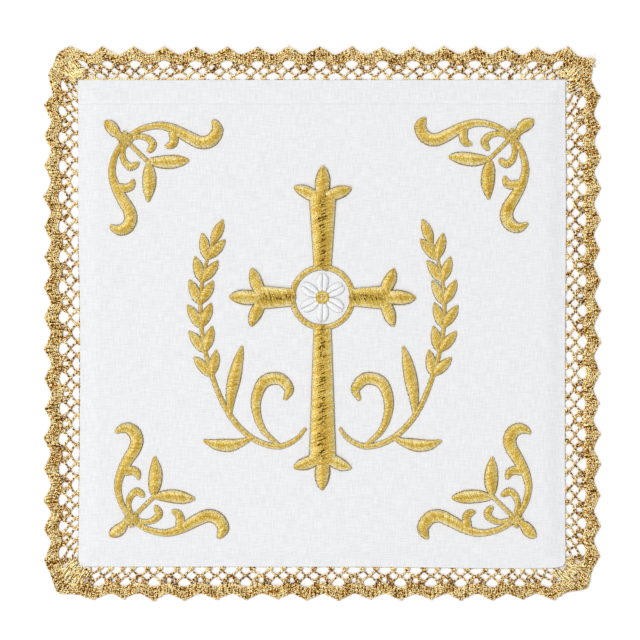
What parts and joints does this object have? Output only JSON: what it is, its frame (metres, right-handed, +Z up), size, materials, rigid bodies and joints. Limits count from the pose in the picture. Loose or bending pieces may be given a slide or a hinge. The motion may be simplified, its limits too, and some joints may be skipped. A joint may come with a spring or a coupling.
{
  "type": "chalice pall",
  "caption": "Square white linen chalice pall with a gold bobbin-lace edging, raised gold corner scrolls and a gold centre motif round a white flower, lying flat.",
  "frame": {"origin": "under the middle of the whole part, on the surface that it lies on", "axes": "+Z up out of the embroidered face, +Y towards the top hem, +X to the right as the face is read"},
  "size_m": [0.174, 0.173, 0.0028],
  "materials": {
    "linen": "fine plain-weave bleached linen, matt",
    "gold_lace": "orange-gold metallised thread, glittery, twisted",
    "gold_stitch": "yellow-gold metallised satin stitch, soft sheen",
    "white_stitch": "white satin stitch, soft sheen"
  },
  "bodies": {
    "root": {"linen_panel": "linen", "lace_edging": "gold_lace", "corner_scroll_tl": "gold_stitch", "corner_scroll_tr": "gold_stitch", "corner_scroll_bl": "gold_stitch", "corner_scroll_br": "gold_stitch", "centre_cross": "gold_stitch", "wheat_spray_left": "gold_stitch", "wheat_spray_right": "gold_stitch", "flower_petals": "white_stitch", "flower_eye": "gold_stitch"}
  },
  "joints": []
}
